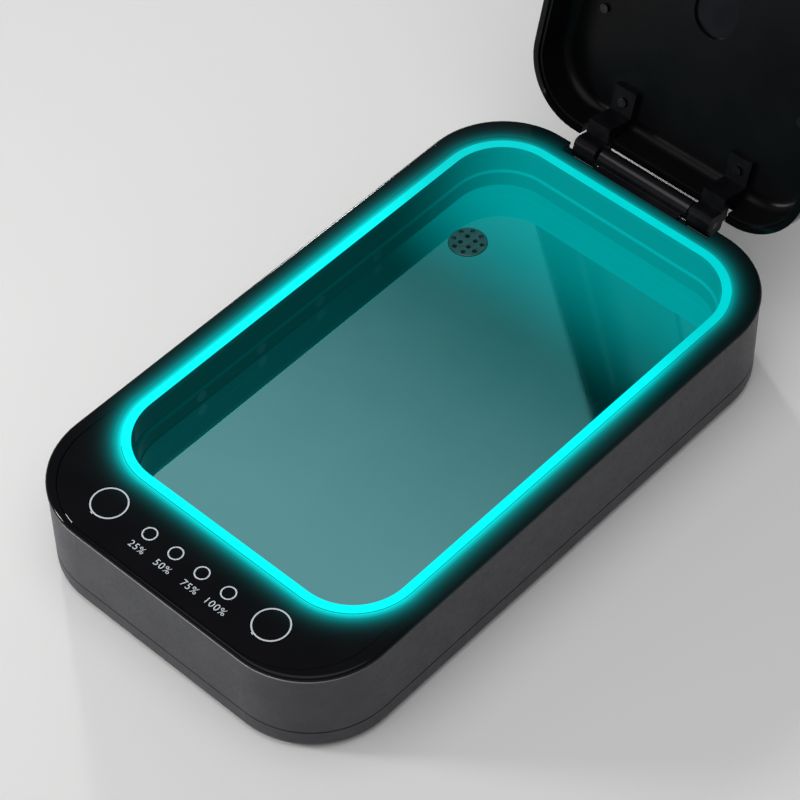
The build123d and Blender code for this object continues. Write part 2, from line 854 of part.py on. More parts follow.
def lid_liner():
    corner_drop = lid_rim + liner_inset
    liner = lid_slab(liner_gap, corner_drop, liner_top)
    liner = fillet(liner.edges().group_by(Axis.Z)[-1], lid_round - lid_top)
    hollow = lid_slab(liner_gap + liner_wall, corner_drop, liner_ceiling)
    liner -= fillet(hollow.edges().group_by(Axis.Z)[-1], lid_round - lid_top - liner_wall)
    liner -= lid_notch()
    slot_width = lid_window_width - 2 * lid_window_overlap
    slot_length = lid_window_length - 2 * lid_window_overlap
    liner -= slab(slot_width, slot_length, slot_width / 2 - 0.1, liner_ceiling, liner_top, lid_y)
    for x, y in lid_screw_points + arm_screw_points:
        liner -= rod(small_shank + slip, liner_ceiling, liner_top, x, y)
    wall = lid_front + liner_gap + liner_wall
    holder_top = corner_drop + magnet_holder
    liner += block(-magnet_holder, magnet_holder, wall, wall + magnet_holder, corner_drop, holder_top)
    magnet_y = wall + magnet_holder / 2
    return liner - rod(magnet_radius + running, corner_drop, corner_drop + magnet_height, 0, magnet_y)


def lid_magnet():
    y = lid_front + liner_gap + liner_wall + magnet_holder / 2
    low = lid_rim + liner_inset
    return rod(magnet_radius, low, low + magnet_height, 0, y)


def lid_window():
    top = liner_top + lid_window_thickness
    return slab(lid_window_width, lid_window_length, lid_window_corner, liner_top, top, lid_y)


def lid_led_board():
    low = lid_inner_top - lid_board_thickness
    length = lid_window_length - lid_board_shorter
    return slab(lid_board_width, length, lid_board_corner, low, lid_inner_top, lid_y)


def lid_uv_leds():
    top = lid_inner_top - lid_board_thickness
    half = led_size / 2
    low = top - lid_led_height
    ys = spread(lid_led_count, lid_led_pitch, lid_y)
    return gathered(block(-half, half, y - half, y + half, low, top) for y in ys)


def lid_hinge_arm(side):
    """A knuckle on the pin, a bar through the notch, and an upright to a foot under the lid's ceiling."""
    x0, x1 = sorted((side * knuckle_inner, side * knuckle_outer))
    knuckle = Box(x1 - x0, 2 * knuckle_half, 2 * knuckle_half)
    knuckle = fillet(knuckle.edges().filter_by(Axis.X), knuckle_round)
    knuckle = Pos((x0 + x1) / 2, hinge_y, hinge_z) * knuckle
    low = deck_height + arm_lift
    foot_low = liner_ceiling - arm_foot_thickness
    front = arm_back - arm_thickness
    arm = knuckle + block(x0, x1, front, hinge_y, low, low + arm_thickness)
    upright = block(x0, x1, front, arm_back, low, liner_ceiling)
    upright += block(x0, x1, arm_back - arm_reach, arm_back, foot_low, liner_ceiling)
    top_back = upright.edges().filter_by(Axis.X).group_by(Axis.Z)[-1].sort_by(Axis.Y)[-1]
    arm += fillet(top_back, lid_round - lid_top - liner_wall + slip)
    arm -= cross_rod(pin_radius + running, x0, x1, hinge_y, hinge_z)
    return arm - rod(small_shank + slip, foot_low, liner_ceiling, side * arm_middle, arm_screw_y)


def lid_bumpers():
    return gathered(bumper_spots(0))


def lid_screws():
    return gathered(upright_screws(lid_screw_points, liner_ceiling, liner_top + small_grip))


def arm_screws():
    seat = liner_ceiling - arm_foot_thickness
    return gathered(upright_screws(arm_screw_points, seat, liner_top + small_grip))


LEFT, RIGHT = -1, 1

pieces = {
    "bottom_shell": bottom_shell(),
    "side_frame": side_frame(),
    "top_cover": top_cover(),
    "chamber_tray": chamber_tray(),
    "mirror_floor": mirror_floor(),
    "light_guide_ring": light_guide_ring(),
    "ring_led_strip": ring_led_strip(),
    "ring_leds": ring_leds(),
    "control_panel": control_panel(),
    "aroma_button_cap": button_cap(LEFT),
    "uv_button_cap": button_cap(RIGHT),
    "aroma_switch_plunger": switch_plunger(LEFT),
    "uv_switch_plunger": switch_plunger(RIGHT),
    "aroma_switch": button_switch(LEFT),
    "uv_switch": button_switch(RIGHT),
    "control_board": control_board(),
    "indicator_baffle": indicator_baffle(),
    "indicator_leds": indicator_leds(),
    "lid_sensor": lid_sensor(),
    "main_board": main_board(),
    "main_board_parts": main_board_parts(),
    "front_ribbon": front_ribbon(),
    "rear_ribbon": rear_ribbon(),
    "usb_board": usb_board(),
    "usb_socket": usb_socket(),
    "side_led_board_left": side_led_board(LEFT),
    "side_led_board_right": side_led_board(RIGHT),
    "uv_leds_left": uv_leds(LEFT),
    "uv_leds_right": uv_leds(RIGHT),
    "uv_windows_left": uv_windows(LEFT),
    "uv_windows_right": uv_windows(RIGHT),
    "scent_cup": scent_cup(),
    "scent_pad": scent_pad(),
    "scent_cap": scent_cap(),
    "hinge_barrel": hinge_barrel(),
    "hinge_pin_left": hinge_pin(LEFT),
    "hinge_pin_right": hinge_pin(RIGHT),
    "barrel_screws": barrel_screws(),
    "rubber_feet": rubber_feet(),
    "case_screws": case_screws(),
    "board_screws": board_screws(),
    "tray_screws": tray_screws(),
}

lid_pieces = {
    "lid_shell": lid_shell(),
    "lid_liner": lid_liner(),
    "lid_magnet": lid_magnet(),
    "lid_window": lid_window(),
    "lid_led_board": lid_led_board(),
    "lid_uv_leds": lid_uv_leds(),
    "lid_hinge_arm_left": lid_hinge_arm(LEFT),
    "lid_hinge_arm_right": lid_hinge_arm(RIGHT),
    "lid_bumpers": lid_bumpers(),
    "lid_screws": lid_screws(),
    "arm_screws": arm_screws(),
}

for name, shape in lid_pieces.items():
    pieces[name] = opened(shape)

os.makedirs("parts", exist_ok=True)
for name, shape in pieces.items():
    export_step(shape, "parts/" + name + ".step")
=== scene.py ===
import math

import bpy
from mathutils import Matrix, Vector


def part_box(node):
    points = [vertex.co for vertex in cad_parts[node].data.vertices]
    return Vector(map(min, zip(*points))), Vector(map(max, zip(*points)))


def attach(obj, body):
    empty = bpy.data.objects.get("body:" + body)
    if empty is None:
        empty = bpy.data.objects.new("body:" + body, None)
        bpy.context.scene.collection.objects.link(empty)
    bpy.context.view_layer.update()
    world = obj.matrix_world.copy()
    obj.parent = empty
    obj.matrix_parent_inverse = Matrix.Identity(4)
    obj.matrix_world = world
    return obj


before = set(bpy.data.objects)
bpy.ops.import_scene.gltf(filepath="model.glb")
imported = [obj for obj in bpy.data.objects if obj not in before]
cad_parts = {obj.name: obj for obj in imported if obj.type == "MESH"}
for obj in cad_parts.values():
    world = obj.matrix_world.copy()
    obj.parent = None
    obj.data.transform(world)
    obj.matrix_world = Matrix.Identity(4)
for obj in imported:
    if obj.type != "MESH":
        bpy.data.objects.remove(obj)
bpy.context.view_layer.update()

mm = 0.001
bpy.ops.object.select_all(action="DESELECT")


# The studio. A wide pale sheet lies under the feet. A broad soft lamp hangs overhead. Two
# lamps with grids stand low, one in front on the left and one behind on the left, and keep
# their light on the box.
floor_color = (0.72, 0.72, 0.71)
floor_size = 14.0
air_color = (0.26, 0.265, 0.27)
lamps = {
    "front_lamp": ((-0.6, -0.56, 0.24), 0.16, 0.6, 70),
    "top_lamp": ((0.1, -0.45, 1.5), 2.0, 16.5, 180),
    "rim_lamp": ((-1.0, 0.6, 0.42), 0.1, 0.5, 60),
}

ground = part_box("rubber_feet")[0][2]
bpy.ops.mesh.primitive_plane_add(size=floor_size, location=(0, 0, ground))
floor = bpy.context.object
floor.name = "studio_floor"
bpy.ops.object.transform_apply(location=True, rotation=True, scale=True)

floor_paper = bpy.data.materials.new("studio_paper")
floor_paper.use_nodes = True
paper_shader = floor_paper.node_tree.nodes["Principled BSDF"]
paper_shader.inputs["Base Color"].default_value = (*floor_color, 1)
paper_shader.inputs["Roughness"].default_value = 0.9
paper_shader.inputs["Specular IOR Level"].default_value = 0.1
floor.data.materials.append(floor_paper)

for name, (place, size, power, grid) in lamps.items():
    light = bpy.data.lights.new(name, "AREA")
    light.shape = "DISK"
    light.size = size
    light.energy = power
    light.spread = math.radians(grid)
    lamp = bpy.data.objects.new(name, light)
    lamp.location = place
    lamp.rotation_euler = Vector(place).to_track_quat("Z", "Y").to_euler()
    bpy.context.scene.collection.objects.link(lamp)

world = bpy.data.worlds.new("studio_air")
world.use_nodes = True
world.node_tree.nodes["Background"].inputs["Color"].default_value = (*air_color, 1)
world.node_tree.nodes["Background"].inputs["Strength"].default_value = 1.0
bpy.context.scene.world = world
bpy.context.scene.view_settings.view_transform = "Standard"


# The camera looks down on the front right corner, almost halfway up from the horizon,
# through a long lens, with its horizon turned slightly.
camera_azimuth = math.radians(43.37)
camera_elevation = math.radians(49.29)
camera_roll = math.radians(-1.16)
camera_distance = 0.90475
camera_target = Vector((0.00348, -0.00957, 0.035))
camera_lens = 133.17
sensor_width = 36.0

back = Vector((
    math.sin(camera_azimuth) * math.cos(camera_elevation),
    -math.cos(camera_azimuth) * math.cos(camera_elevation),
    math.sin(camera_elevation),
))
level_right = (-back).cross(Vector((0, 0, 1))).normalized()
level_up = level_right.cross(-back)
right = level_right * math.cos(camera_roll) + level_up * math.sin(camera_roll)
up = level_up * math.cos(camera_roll) - level_right * math.sin(camera_roll)
lens = bpy.data.cameras.new("studio_camera")
lens.lens = camera_lens
lens.sensor_width = sensor_width
camera = bpy.data.objects.new("studio_camera", lens)
turn = Matrix((right, up, back)).transposed().to_4x4()
camera.matrix_world = Matrix.Translation(camera_target + back * camera_distance) @ turn
bpy.context.scene.collection.objects.link(camera)
bpy.context.scene.camera = camera


# The lower shell is a shallow tray moulded in dark grey plastic, spark-eroded to a fine
# satin grain. Its bottom edge is rounded, and a tongue on it locates the frame above.
def new_finish(name, color, roughness, metallic=0.0, specular=0.5):
    """A finish whose even values stand on the shader's own sockets."""
    finish = bpy.data.materials.new(name)
    finish.use_nodes = True
    shader = finish.node_tree.nodes["Principled BSDF"]
    shader.inputs["Base Color"].default_value = (*color, 1)
    shader.inputs["Roughness"].default_value = roughness
    shader.inputs["Metallic"].default_value = metallic
    shader.inputs["Specular IOR Level"].default_value = specular
    return finish


def place_in(finish):
    """The object's own coordinates, in metres."""
    return finish.node_tree.nodes.new("ShaderNodeTexCoord").outputs["Object"]


def noise_in(finish, size, detail=3.0):
    """A noise whose lumps are about one size across, in metres, fixed to the object."""
    noise = finish.node_tree.nodes.new("ShaderNodeTexNoise")
    noise.inputs["Scale"].default_value = 1 / size
    noise.inputs["Detail"].default_value = detail
    finish.node_tree.links.new(place_in(finish), noise.inputs["Vector"])
    return noise.outputs["Fac"]


def feed(finish, value, socket):
    """Drives one of the shader's sockets."""
    shader = finish.node_tree.nodes["Principled BSDF"]
    finish.node_tree.links.new(value, shader.inputs[socket])


def ranged(finish, value, limits, results, curve="LINEAR"):
    """Maps one span of values on another, held at its ends."""
    spread = finish.node_tree.nodes.new("ShaderNodeMapRange")
    spread.interpolation_type = curve
    spread.inputs["From Min"].default_value = limits[0]
    spread.inputs["From Max"].default_value = limits[1]
    spread.inputs["To Min"].default_value = results[0]
    spread.inputs["To Max"].default_value = results[1]
    finish.node_tree.links.new(value, spread.inputs["Value"])
    return spread.outputs["Result"]


def vary(finish, socket, size, low, high):
    """Lets a value wander between two limits over the surface."""
    feed(finish, ranged(finish, noise_in(finish, size), (0.3, 0.7), (low, high)), socket)


def toned(finish, value, dark, light):
    """A colour between two tones."""
    mix = finish.node_tree.nodes.new("ShaderNodeMixRGB")
    mix.inputs["Color1"].default_value = (*dark, 1)
    mix.inputs["Color2"].default_value = (*light, 1)
    finish.node_tree.links.new(value, mix.inputs["Fac"])
    return mix.outputs["Color"]


def mottle(finish, size, dark, light):
    """Lets the colour wander between two tones over the surface."""
    patch = ranged(finish, noise_in(finish, size), (0.35, 0.65), (0.0, 1.0))
    feed(finish, toned(finish, patch, dark, light), "Base Color")


def pebble(finish, size, depth):
    """A fine raised grain, its depth in metres."""
    bump = finish.node_tree.nodes.new("ShaderNodeBump")
    bump.inputs["Distance"].default_value = depth
    finish.node_tree.links.new(noise_in(finish, size, 2.0), bump.inputs["Height"])
    feed(finish, bump.outputs["Normal"], "Normal")


def dress(finish, *nodes):
    """Gives nodes their finish."""
    for node in nodes:
        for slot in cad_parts[node].material_slots:
            slot.material = finish


satin_dark = (0.042, 0.042, 0.048)
satin_light = (0.052, 0.052, 0.058)
satin_roughness = 0.42
satin_specular = 0.25
satin_cloud = 9 * mm


def satin_surface(finish):
    """The fine spark-eroded grain that both shells share."""
    vary(finish, "Roughness", 1.5 * mm, 0.38, 0.5)
    pebble(finish, 0.25 * mm, 0.006 * mm)


satin_grey = new_finish("satin_grey_plastic", satin_light, satin_roughness, specular=satin_specular)
mottle(satin_grey, satin_cloud, satin_dark, satin_light)
satin_surface(satin_grey)
dress(satin_grey, "bottom_shell")


# The frame is the tall wall of the case, of the same satin plastic. Its top lip, under the
# cover's overhang, carries a painted highlight, strongest along the control end and faint round the
# rest.
# The lip's painted highlight: how tall, how pale, where it fades along the control end, and how much
# stays past the fade.
lip_height = 0.5 * mm
lip_highlight = (0.5, 0.49, 0.47)
lip_highlight_fade = (-108 * mm, -84 * mm)
lip_highlight_rest = 0.06
frame_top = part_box("side_frame")[1][2]


def math_step(finish, operation, first, second=0.0):
    """One step of arithmetic on sockets or plain values."""
    step = finish.node_tree.nodes.new("ShaderNodeMath")
    step.operation = operation
    for socket, value in zip(step.inputs, (first, second)):
        if isinstance(value, bpy.types.NodeSocket):
            finish.node_tree.links.new(value, socket)
        else:
            socket.default_value = value
    return step.outputs["Value"]


def axes_of(finish):
    """The object's own X, Y and Z, each apart."""
    apart = finish.node_tree.nodes.new("ShaderNodeSeparateXYZ")
    finish.node_tree.links.new(place_in(finish), apart.inputs["Vector"])
    return apart.outputs["X"], apart.outputs["Y"], apart.outputs["Z"]


satin_with_lip_highlight = new_finish("satin_grey_painted_lip_highlight", satin_light, satin_roughness, specular=satin_specular)
along, height = axes_of(satin_with_lip_highlight)[1:]
# Painted highlight: a pale band over the lip's top half millimetre, mixed into the base colour.
lip = ranged(satin_with_lip_highlight, height, (frame_top - lip_height, frame_top), (0, 1))
painted_lip_highlight = ranged(satin_with_lip_highlight, along, lip_highlight_fade, (1, lip_highlight_rest))
patch = ranged(satin_with_lip_highlight, noise_in(satin_with_lip_highlight, satin_cloud), (0.35, 0.65), (0.0, 1.0))
both = satin_with_lip_highlight.node_tree.nodes.new("ShaderNodeMixRGB")
both.inputs["Color2"].default_value = (*lip_highlight, 1)
satin_with_lip_highlight.node_tree.links.new(math_step(satin_with_lip_highlight, "MULTIPLY", lip, painted_lip_highlight), both.inputs["Fac"])
satin_with_lip_highlight.node_tree.links.new(toned(satin_with_lip_highlight, patch, satin_dark, satin_light), both.inputs["Color1"])
feed(satin_with_lip_highlight, both.outputs["Color"], "Base Color")
satin_surface(satin_with_lip_highlight)
dress(satin_with_lip_highlight, "side_frame")


# Four soft rubber feet are pressed into round recesses under the shell. They hide the long
# case screws, which run up through posts into the top cover.
foot_rubber = new_finish("foot_rubber", (0.02, 0.02, 0.02), 0.8, specular=0.3)
mottle(foot_rubber, 1 * mm, (0.015, 0.015, 0.015), (0.024, 0.024, 0.024))
pebble(foot_rubber, 0.3 * mm, 0.01 * mm)
dress(foot_rubber, "rubber_feet")

screw_steel = new_finish("screw_steel", (0.5, 0.5, 0.52), 0.3, metallic=1.0)
mottle(screw_steel, 0.8 * mm, (0.46, 0.46, 0.48), (0.56, 0.56, 0.58))
vary(screw_steel, "Roughness", 0.5 * mm, 0.24, 0.4)
dress(screw_steel, "case_screws")


# The top cover is moulded in polished black plastic. A painted glow, cyan emission, lies on the
# gloss beside the guide and dies away within a centimetre, a little weaker at the hinge end.
glow_color = (0.0, 1.0, 1.0)
glow_decay = 600.0
glow_at_guide = 0.95
glow_falling = 2.2
ring_outer_corner = 22.6 * mm
dim_from = 36 * mm
dim_to = 80 * mm
dim_strength = 0.66
ring_low, ring_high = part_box("light_guide_ring")


def away_from_guide(finish):
    """Metres outwards from the guide's outer edge, a rounded rectangle."""
    past = []
    for axis, value in enumerate(axes_of(finish)[:2]):
        middle = (ring_low[axis] + ring_high[axis]) / 2
        straight = (ring_high[axis] - ring_low[axis]) / 2 - ring_outer_corner
        offset = math_step(finish, "ABSOLUTE", math_step(finish, "SUBTRACT", value, middle))
        past.append(math_step(finish, "MAXIMUM", math_step(finish, "SUBTRACT", offset, straight)))
    squares = [math_step(finish, "MULTIPLY", value, value) for value in past]
    reach = math_step(finish, "SQRT", math_step(finish, "ADD", *squares))
    return math_step(finish, "MAXIMUM", math_step(finish, "SUBTRACT", reach, ring_outer_corner))


def guide_level(finish):
    """How bright the guide is here, from full at the controls to weaker at the hinge."""
    along = axes_of(finish)[1]
    return ranged(finish, along, (dim_from, dim_to), (1.0, dim_strength), "SMOOTHSTEP")


def shine(finish, level):
    """Lets the finish glow cyan, as emission, at the given strength; apart from the guide's own
    light, this is painted glow.
    """
    feed(finish, level, "Emission Strength")
    shader = finish.node_tree.nodes["Principled BSDF"]
    shader.inputs["Emission Color"].default_value = (*glow_color, 1)


def painted_glow_beside_guide(finish):
    """Paints the guide's glow on the surface beside it, as emission."""
    power = math_step(finish, "MULTIPLY", away_from_guide(finish), -glow_decay)
    fade = math_step(finish, "EXPONENT", power)
    level = math_step(finish, "POWER", guide_level(finish), glow_falling)
    level = math_step(finish, "MULTIPLY", level, glow_at_guide)
    shine(finish, math_step(finish, "MULTIPLY", fade, level))


cover_black = new_finish("polished_black_cover", (0.002, 0.0022, 0.003), 0.1, specular=0.13)
mottle(cover_black, 20 * mm, (0.0016, 0.0018, 0.0024), (0.0026, 0.0028, 0.0036))
vary(cover_black, "Roughness", 12 * mm, 0.08, 0.14)
# Painted glow: cyan emission on the cover, fading outwards from the guide.
painted_glow_beside_guide(cover_black)
dress(cover_black, "top_cover")


# The chamber tray is one deep polished moulding, screwed up under the cover by six tabs.
# A painted teal glow, emission, is faint all over and grows towards its hinge end, with a painted
# highlight along the small ledge round its walls.
ledge_level = 24.0 * mm
ledge_line = 0.4 * mm
ledge_highlight_gain = 1.45
wall_light = 0.031
end_light = 0.27
glow_rise_from = 40 * mm
glow_rise_power = 2.3


def painted_chamber_glow(finish):
    """How strong the painted glow on the chamber's walls is, from the controls to the hinge end."""
    along = ranged(finish, axes_of(finish)[1], (glow_rise_from, ring_high[1]), (0.0, 1.0))
    glow_rise = math_step(finish, "POWER", along, glow_rise_power)
    return math_step(finish, "ADD", math_step(finish, "MULTIPLY", glow_rise, end_light), wall_light)


chamber_teal = new_finish("chamber_teal", (0.001, 0.004, 0.004), 0.08, specular=0.02)
mottle(chamber_teal, 25 * mm, (0.001, 0.003, 0.003), (0.001, 0.005, 0.005))
vary(chamber_teal, "Roughness", 15 * mm, 0.06, 0.12)
# Painted highlight: the painted glow is raised in a thin band at the ledge's height.
lifted = math_step(chamber_teal, "SUBTRACT", axes_of(chamber_teal)[2], ledge_level)
lifted = math_step(chamber_teal, "ABSOLUTE", lifted)
edge = ranged(chamber_teal, lifted, (ledge_line / 2, ledge_line), (ledge_highlight_gain, 1.0))
shine(chamber_teal, math_step(chamber_teal, "MULTIPLY", painted_chamber_glow(chamber_teal), edge))
dress(chamber_teal, "chamber_tray")

dress(screw_steel, "tray_screws")


# A mirror sheet lies on the tray's floor. Its coating is tinted teal, a painted reflection of the
# guide's light;
# the tint darkens towards the hinge end, where a painted teal glow, emission, grows over it.
mirror_near = (0.39, 0.97, 1.0)
mirror_far = (0.03, 0.3, 0.31)
deepens = (-75 * mm, 85 * mm)
painted_glow_span = (40 * mm, 92 * mm)
painted_glow_strengths = (0.02, 0.24)
mirror = new_finish("mirror_sheet", mirror_near, 0.04, metallic=1.0)
deep = ranged(mirror, axes_of(mirror)[1], deepens, (0.0, 1.0), "SMOOTHSTEP")
cloud = ranged(mirror, noise_in(mirror, 30 * mm), (0.3, 0.7), (-0.03, 0.03))
cast = toned(mirror, math_step(mirror, "ADD", deep, cloud), mirror_near, mirror_far)
feed(mirror, cast, "Base Color")
vary(mirror, "Roughness", 20 * mm, 0.03, 0.06)
# Painted glow: teal emission, faint at the controls and rising towards the hinge end.
shine(mirror, ranged(mirror, axes_of(mirror)[1], painted_glow_span, painted_glow_strengths, "SMOOTHSTEP"))
dress(mirror, "mirror_floor")


# The light guide is a frosted acrylic ring round the chamber's mouth. A strip of small
# lamps on a white flexible board lies in the groove under it. Its inner face is lit only in a
# thin sliver at the top; below that it carries the chamber's painted glow, the tone of the wall below
# it.
guide_rim = 0.02 * mm
guide_face = 0.15 * mm
light_guide = new_finish("frosted_guide", (0.0, 0.02, 0.02), 0.4, specular=0.05)
shimmer = ranged(light_guide, noise_in(light_guide, 6 * mm), (0.3, 0.7), (0.97, 1.03))
guide_top = ring_high[2]
rising = axes_of(light_guide)[2]
bright = ranged(light_guide, rising, (guide_top - guide_face, guide_top - guide_rim), (0.0, 1.0))
glare = math_step(light_guide, "MULTIPLY", shimmer, guide_level(light_guide))
glare = math_step(light_guide, "MULTIPLY", glare, bright)
# Painted glow: below the lit top sliver, the guide takes the chamber's painted teal glow.
shine(light_guide, math_step(light_guide, "MAXIMUM", glare, painted_chamber_glow(light_guide)))
dress(light_guide, "light_guide_ring")

strip_white = new_finish("strip_white", (0.8, 0.8, 0.78), 0.5)
mottle(strip_white, 2 * mm, (0.74, 0.74, 0.72), (0.82, 0.82, 0.8))
dress(strip_white, "ring_led_strip")

led_body = new_finish("led_body", (0.85, 0.82, 0.6), 0.35)
mottle(led_body, 1 * mm, (0.8, 0.76, 0.5), (0.88, 0.85, 0.62))
dress(led_body, "ring_leds", "indicator_leds")


# The control panel is a crescent of black acrylic let into the cover. Charge figures and a
# ring round each indicator are screen-printed on it in pale ink.
print_height = 0.02 * mm
ring_sides = 72
figure_height = 2.4 * mm
figure_spacing = 1.12
figures = {
    "25%": (-15.6 * mm, 5.9 * mm),
    "50%": (-4.85 * mm, 6.2 * mm),
    "75%": (6.3 * mm, 6.1 * mm),
    "100%": (17.1 * mm, 7.6 * mm),
}
figure_y = -103.1 * mm
lamp_ring_radius = 2.5 * mm
lamp_ring_stroke = 0.45 * mm
lamp_pitch = 10.87 * mm
lamp_count = 4
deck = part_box("control_panel")[1][2]
cap_low, cap_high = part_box("aroma_button_cap")
control_y = (cap_low[1] + cap_high[1]) / 2

panel_black = new_finish("control_panel_black", (0.002, 0.002, 0.003), 0.06, specular=0.14)
mottle(panel_black, 15 * mm, (0.0015, 0.0015, 0.0022), (0.0025, 0.0025, 0.0035))
vary(panel_black, "Roughness", 10 * mm, 0.04, 0.09)
# Painted glow: the same cyan emission beside the guide lies on the panel.
painted_glow_beside_guide(panel_black)
dress(panel_black, "control_panel")

pale_ink = new_finish("pale_ink", (0.52, 0.56, 0.6), 0.5, specular=0.3)
mottle(pale_ink, 0.4 * mm, (0.44, 0.48, 0.52), (0.56, 0.61, 0.66))


def only(selected):
    """Selects one object and makes it the active one."""
    bpy.ops.object.select_all(action="DESELECT")
    selected.select_set(True)
    bpy.context.view_layer.objects.active = selected


def printed_ring(name, radius, stroke, x, y, z):
    """A flat printed ring."""
    bpy.ops.object.select_all(action="DESELECT")
    bpy.ops.mesh.primitive_circle_add(
        vertices=ring_sides, radius=radius, fill_type="NGON", location=(x, y, z)
    )
    ring = bpy.context.object
    ring.name = name
    bpy.ops.object.mode_set(mode="EDIT")
    bpy.ops.mesh.select_all(action="SELECT")
    bpy.ops.mesh.inset(thickness=stroke)
    bpy.ops.mesh.delete(type="FACE")
    bpy.ops.mesh.select_all(action="SELECT")
    bpy.ops.mesh.extrude_region_move(TRANSFORM_OT_translate={"value": (0, 0, print_height)})
    bpy.ops.mesh.select_all(action="SELECT")
    bpy.ops.mesh.normals_make_consistent(inside=False)
    bpy.ops.object.mode_set(mode="OBJECT")
    bpy.ops.object.transform_apply(location=True, rotation=True, scale=True)
    ring.data.materials.append(pale_ink)
    return ring


first_x = -lamp_pitch * (lamp_count - 1) / 2
first_ring = printed_ring("lamp_ring_1", lamp_ring_radius, lamp_ring_stroke, first_x, control_y, deck)
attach(first_ring, "base")
for number in range(1, lamp_count):
    copy = first_ring.copy()
    copy.data = first_ring.data.copy()
    copy.name = f"lamp_ring_{number + 1}"
    bpy.context.scene.collection.objects.link(copy)
    only(copy)
    copy.location.x += number * lamp_pitch
    bpy.ops.object.transform_apply(location=True, rotation=True, scale=True)
    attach(copy, "base")

for words, (x, width) in figures.items():
    bpy.ops.object.select_all(action="DESELECT")
    bpy.ops.object.text_add()
    figure = bpy.context.object
    figure.name = "charge_figure_" + words.strip("%")
    figure.data.body = words
    figure.data.align_x = "CENTER"
    figure.data.align_y = "CENTER"
    figure.data.extrude = 0.5
    figure.data.space_character = figure_spacing
    bpy.ops.object.convert(target="MESH")
    bpy.ops.object.origin_set(type="ORIGIN_GEOMETRY", center="BOUNDS")
    size = figure.dimensions
    figure.scale = (width / size.x, figure_height / size.y, print_height / size.z)
    figure.location = (x, figure_y, deck + print_height / 2)
    bpy.ops.object.transform_apply(location=True, rotation=True, scale=True)
    figure.data.materials.append(pale_ink)
    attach(figure, "base")


# Two round buttons stand in the panel, the left one for the scent and the right one for the
# ultraviolet lamps. Each black cap carries a printed ring, and presses a switch below it.
button_ring_radius = 6.0 * mm
button_ring_stroke = 0.5 * mm
dress(panel_black, "aroma_button_cap", "uv_button_cap")

for body in ("aroma_button", "uv_button"):
    low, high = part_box(body + "_cap")
    x = (low[0] + high[0]) / 2
    ring = printed_ring(body + "_ring", button_ring_radius, button_ring_stroke, x, control_y, high[2])
    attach(ring, body)

switch_black = new_finish("switch_black", (0.015, 0.015, 0.016), 0.35)
mottle(switch_black, 1 * mm, (0.012, 0.012, 0.013), (0.02, 0.02, 0.021))
vary(switch_black, "Roughness", 2 * mm, 0.3, 0.42)
dress(switch_black, "aroma_switch", "uv_switch")

plunger_grey = new_finish("plunger_grey", (0.25, 0.25, 0.26), 0.45)
mottle(plunger_grey, 1 * mm, (0.22, 0.22, 0.23), (0.28, 0.28, 0.29))
vary(plunger_grey, "Roughness", 1 * mm, 0.4, 0.5)
dress(plunger_grey, "aroma_switch_plunger", "uv_switch_plunger")


# The control board hangs from bosses under the cover. A moulded baffle keeps the light of
# each indicator to its own hole, and a small sensor feels the lid's magnet.
board_green = new_finish("circuit_board", (0.01, 0.09, 0.05), 0.4)
mottle(board_green, 1.5 * mm, (0.006, 0.06, 0.03), (0.012, 0.11, 0.06))
vary(board_green, "Roughness", 0.8 * mm, 0.34, 0.46)
dress(board_green, "control_board")
dress(screw_steel, "board_screws")

baffle_black = new_finish("baffle_black", (0.02, 0.02, 0.02), 0.6)
mottle(baffle_black, 2 * mm, (0.016, 0.016, 0.016), (0.024, 0.024, 0.024))
pebble(baffle_black, 0.3 * mm, 0.008 * mm)
dress(baffle_black, "indicator_baffle")
dress(switch_black, "lid_sensor")


# The main board lies on bosses in the lower shell, with a coil, chips, cans and two plugs.
# Flat ribbon cables climb from it to the control board and to the inlet board.
dress(board_green, "main_board")

part_black = new_finish("component_black", (0.03, 0.03, 0.032), 0.45)
mottle(part_black, 4 * mm, (0.02, 0.02, 0.022), (0.045, 0.045, 0.047))
vary(part_black, "Roughness", 1 * mm, 0.35, 0.55)
dress(part_black, "main_board_parts")

ribbon_bands = 500.0
ribbon_grey = new_finish("ribbon_grey", (0.3, 0.3, 0.31), 0.5)
stripes = ribbon_grey.node_tree.nodes.new("ShaderNodeTexWave")
stripes.bands_direction = "X"
stripes.inputs["Scale"].default_value = ribbon_bands
ribbon_grey.node_tree.links.new(place_in(ribbon_grey), stripes.inputs["Vector"])
striped = toned(ribbon_grey, stripes.outputs["Fac"], (0.2, 0.2, 0.21), (0.36, 0.36, 0.37))
feed(ribbon_grey, striped, "Base Color")
dress(ribbon_grey, "front_ribbon", "rear_ribbon")


# The power socket is a folded steel shell soldered to its own small board, and its mouth
# stands just inside a slot in the rear wall.
socket_steel = new_finish("socket_steel", (0.62, 0.62, 0.6), 0.25, metallic=1.0)
mottle(socket_steel, 2 * mm, (0.56, 0.56, 0.54), (0.68, 0.68, 0.66))
vary(socket_steel, "Roughness", 1 * mm, 0.2, 0.34)
dress(socket_steel, "usb_socket")
dress(board_green, "usb_board")


# A narrow board stands behind each long wall of the chamber. Its ultraviolet lamps look in
# through round windows of clear quartz.
quartz = new_finish("quartz_window", (0.001, 0.012, 0.013), 0.08, specular=0.12)
mottle(quartz, 6 * mm, (0.001, 0.01, 0.011), (0.002, 0.014, 0.015))
vary(quartz, "Roughness", 3 * mm, 0.05, 0.12)
# Painted glow: the windows carry the chamber walls' painted teal glow.
shine(quartz, painted_chamber_glow(quartz))
dress(quartz, "uv_windows_left", "uv_windows_right")
dress(board_green, "side_led_board_left", "side_led_board_right")
dress(led_body, "uv_leds_left", "uv_leds_right")


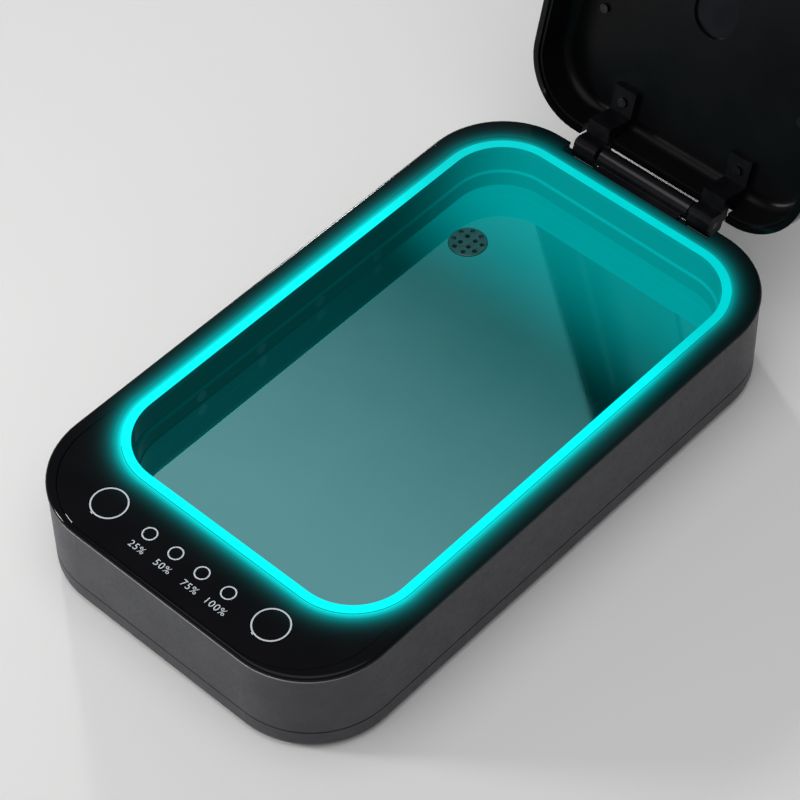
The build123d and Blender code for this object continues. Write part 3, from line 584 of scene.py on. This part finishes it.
# The scent cup is let into the chamber's floor. A felt pad in it takes the oil, and a
# perforated cap snaps in over the pad.
scent_black = new_finish("scent_cap_teal_black", (0.02, 0.1, 0.1), 0.2, specular=0.3)
mottle(scent_black, 3 * mm, (0.017, 0.09, 0.092), (0.023, 0.115, 0.118))
vary(scent_black, "Roughness", 2 * mm, 0.16, 0.26)
dress(scent_black, "scent_cap", "scent_cup")

felt = new_finish("felt", (0.1, 0.12, 0.12), 0.95)
mottle(felt, 0.6 * mm, (0.06, 0.08, 0.08), (0.14, 0.16, 0.16))
pebble(felt, 0.3 * mm, 0.05 * mm)
dress(felt, "scent_pad")


# The hinge barrel is a black moulding screwed into a well in the cover. A blackened pin stands
# out of each of its ends and carries a knuckle of the lid's two arms.
hinge_black = new_finish("hinge_black", (0.004, 0.004, 0.005), 0.1, specular=0.3)
mottle(hinge_black, 8 * mm, (0.003, 0.003, 0.004), (0.006, 0.006, 0.007))
vary(hinge_black, "Roughness", 5 * mm, 0.08, 0.13)
dress(hinge_black, "hinge_barrel")
dress(screw_steel, "barrel_screws")

arm_black = new_finish("arm_black", (0.004, 0.004, 0.005), 0.4, specular=0.06)
mottle(arm_black, 6 * mm, (0.003, 0.003, 0.004), (0.006, 0.006, 0.007))
vary(arm_black, "Roughness", 4 * mm, 0.36, 0.46)
dress(arm_black, "lid_hinge_arm_left", "lid_hinge_arm_right")

blackened_steel = new_finish("blackened_steel", (0.03, 0.03, 0.033), 0.35, metallic=1.0)
mottle(blackened_steel, 0.8 * mm, (0.024, 0.024, 0.027), (0.04, 0.04, 0.043))
vary(blackened_steel, "Roughness", 0.5 * mm, 0.3, 0.42)
dress(blackened_steel, "hinge_pin_left", "hinge_pin_right", "arm_screws")


# The lid's outer shell is moulded in polished black plastic, thin-walled and deep, with a
# soft rounded crown. It rides on the two arms.
lid_black = new_finish("polished_black_lid", (0.002, 0.002, 0.0025), 0.1, specular=0.12)
mottle(lid_black, 25 * mm, (0.0015, 0.0015, 0.002), (0.003, 0.003, 0.0035))
vary(lid_black, "Roughness", 15 * mm, 0.08, 0.14)
dress(lid_black, "lid_shell")


# The liner is a second moulding screwed into the shell. It closes over the lid's own lamp
# board, whose light comes through a smoked window, and it holds the magnet at its free end.
liner_black = new_finish("satin_black_liner", (0.003, 0.003, 0.0035), 0.3, specular=0.08)
mottle(liner_black, 30 * mm, (0.002, 0.002, 0.0025), (0.004, 0.004, 0.0045))
vary(liner_black, "Roughness", 20 * mm, 0.26, 0.36)
dress(liner_black, "lid_liner")

smoked_window = new_finish("smoked_window", (0.004, 0.004, 0.006), 0.22, specular=0.09)
mottle(smoked_window, 10 * mm, (0.003, 0.003, 0.005), (0.006, 0.006, 0.009))
vary(smoked_window, "Roughness", 6 * mm, 0.19, 0.26)
dress(smoked_window, "lid_window")
dress(board_green, "lid_led_board")
dress(led_body, "lid_uv_leds")
dress(blackened_steel, "lid_screws")

magnet_epoxy = new_finish("magnet_epoxy", (0.012, 0.012, 0.013), 0.35, specular=0.2)
mottle(magnet_epoxy, 1 * mm, (0.009, 0.009, 0.01), (0.015, 0.015, 0.016))
vary(magnet_epoxy, "Roughness", 1 * mm, 0.3, 0.42)
dress(magnet_epoxy, "lid_magnet")


# Four small rubber pads are pressed into slots in the lid's rim. They soften its landing
# on the deck.
dress(foot_rubber, "lid_bumpers")
